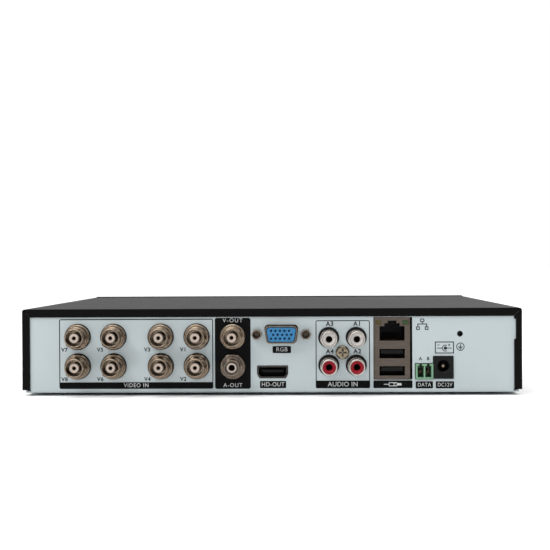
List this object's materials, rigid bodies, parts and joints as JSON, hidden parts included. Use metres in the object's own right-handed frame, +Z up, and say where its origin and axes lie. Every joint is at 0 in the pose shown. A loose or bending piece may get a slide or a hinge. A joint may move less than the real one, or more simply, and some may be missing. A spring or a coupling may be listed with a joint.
{
  "type": "dvr recorder",
  "caption": "Compact desktop video recorder: moulded front with round key pad, folded steel cover, rear panel of video, audio, monitor, network and power sockets, hard drive inside.",
  "frame": {"origin": "centre of the whole recorder's footprint, on the surface that its feet stand on", "axes": "+X to the right seen from the front, +Y towards the rear sockets, +Z up"},
  "size_m": [0.256, 0.2304, 0.045],
  "materials": {
    "panel_grey": "light grey coated steel, fine grain",
    "powder_black": "black powder coat, fine texture",
    "bezel_black": "black moulded plastic, spark-eroded texture",
    "key_black": "black moulded plastic, satin",
    "screw_black": "black oxide",
    "screw_zinc": "zinc plated",
    "screw_brass": "yellow zinc plated",
    "rubber_black": "matte",
    "nickel": "nickel plated, slightly warm",
    "shell_steel": "tinned steel, satin",
    "insulator_ivory": "natural nylon",
    "contact_brass": "gold flashed",
    "plastic_black": "satin",
    "plastic_white": "semi-gloss",
    "plastic_red": "semi-gloss",
    "plastic_blue": "satin",
    "plastic_green": "satin",
    "board_green": "solder mask",
    "chip_black": "moulded epoxy",
    "capacitor_sleeve": "printed sleeve, no text",
    "aluminium": "extruded",
    "cast_aluminium": "cast",
    "drive_steel": "satin",
    "platter_mirror": "polished",
    "lens_clear": "clear",
    "lens_dark": "infrared pass",
    "led_lens": "tinted lens",
    "cable_grey": "flat cable jacket",
    "cable_red": "cable jacket"
  },
  "bodies": {
    "recorder": {"base_chassis": "panel_grey", "top_cover": "powder_black", "front_bezel": "bezel_black", "cover_screws": "screw_black", "rubber_feet": "rubber_black", "key_switches": "plastic_black", "front_board": "board_green", "status_leds": "lens_clear", "ir_sensor": "lens_dark", "board_screws": "screw_zinc", "front_cable": "cable_grey", "main_board": "board_green", "processor": "chip_black", "heatsink": "aluminium", "board_chips": "chip_black", "inductors": "chip_black", "capacitors": "capacitor_sleeve", "clock_battery": "nickel", "buzzer": "plastic_black", "board_sockets": "plastic_black", "bnc_blocks": "plastic_black", "bnc_barrels": "nickel", "bnc_insulators": "insulator_ivory", "audio_out_barrel": "nickel", "audio_out_insert": "insulator_ivory", "jack_contacts": "contact_brass", "rca_block": "plastic_black", "rca_barrels": "nickel", "rca_white_inserts": "plastic_white", "rca_red_inserts": "plastic_red", "rca_screw": "screw_brass", "vga_shell": "nickel", "vga_insert": "plastic_blue", "vga_jackscrews": "nickel", "video_stack": "plastic_black", "hdmi_shell": "nickel", "hdmi_tongue": "plastic_black", "network_usb_shell": "shell_steel", "network_insert": "plastic_black", "network_leds": "led_lens", "usb_tongues": "plastic_black", "terminal_header": "plastic_green", "terminal_pins": "contact_brass", "power_jack_body": "plastic_black", "power_jack_pin": "nickel", "drive_base": "cast_aluminium", "drive_lid": "drive_steel", "drive_board": "board_green", "drive_screws": "screw_zinc", "drive_cables": "cable_red"},
    "menu_button": {"menu_key": "key_black"},
    "esc_button": {"esc_key": "key_black"},
    "up_button": {"up_key": "key_black"},
    "down_button": {"down_key": "key_black"},
    "left_button": {"left_key": "key_black"},
    "right_button": {"right_key": "key_black"},
    "ok_button": {"ok_key": "key_black"},
    "platter_stack": {"drive_hub": "aluminium", "drive_platters": "platter_mirror"},
    "head_carriage": {"head_arm": "aluminium"}
  },
  "joints": [
    {"name": "menu_press", "type": "slide", "parent": "recorder", "child": "menu_button", "axis": [0, 1, 0], "range_m": [0, 0.0005], "stiffness_N_per_m": 2000},
    {"name": "esc_press", "type": "slide", "parent": "recorder", "child": "esc_button", "axis": [0, 1, 0], "range_m": [0, 0.0005], "stiffness_N_per_m": 2000},
    {"name": "up_press", "type": "slide", "parent": "recorder", "child": "up_button", "axis": [0, 1, 0], "range_m": [0, 0.0005], "stiffness_N_per_m": 2000},
    {"name": "down_press", "type": "slide", "parent": "recorder", "child": "down_button", "axis": [0, 1, 0], "range_m": [0, 0.0005], "stiffness_N_per_m": 2000},
    {"name": "left_press", "type": "slide", "parent": "recorder", "child": "left_button", "axis": [0, 1, 0], "range_m": [0, 0.0005], "stiffness_N_per_m": 2000},
    {"name": "right_press", "type": "slide", "parent": "recorder", "child": "right_button", "axis": [0, 1, 0], "range_m": [0, 0.0005], "stiffness_N_per_m": 2000},
    {"name": "ok_press", "type": "slide", "parent": "recorder", "child": "ok_button", "axis": [0, 1, 0], "range_m": [0, 0.0005], "stiffness_N_per_m": 2000},
    {"name": "platter_spin", "type": "hinge", "parent": "recorder", "child": "platter_stack", "pos_m": [-0.0685, -0.04462, 0.0195], "axis": [0, 0, 1], "continuous": true},
    {"name": "head_swing", "type": "hinge", "parent": "recorder", "child": "head_carriage", "pos_m": [-0.012, -0.06492, 0.0195], "axis": [0, 0, 1], "range_deg": [0, 36]}
  ]
}
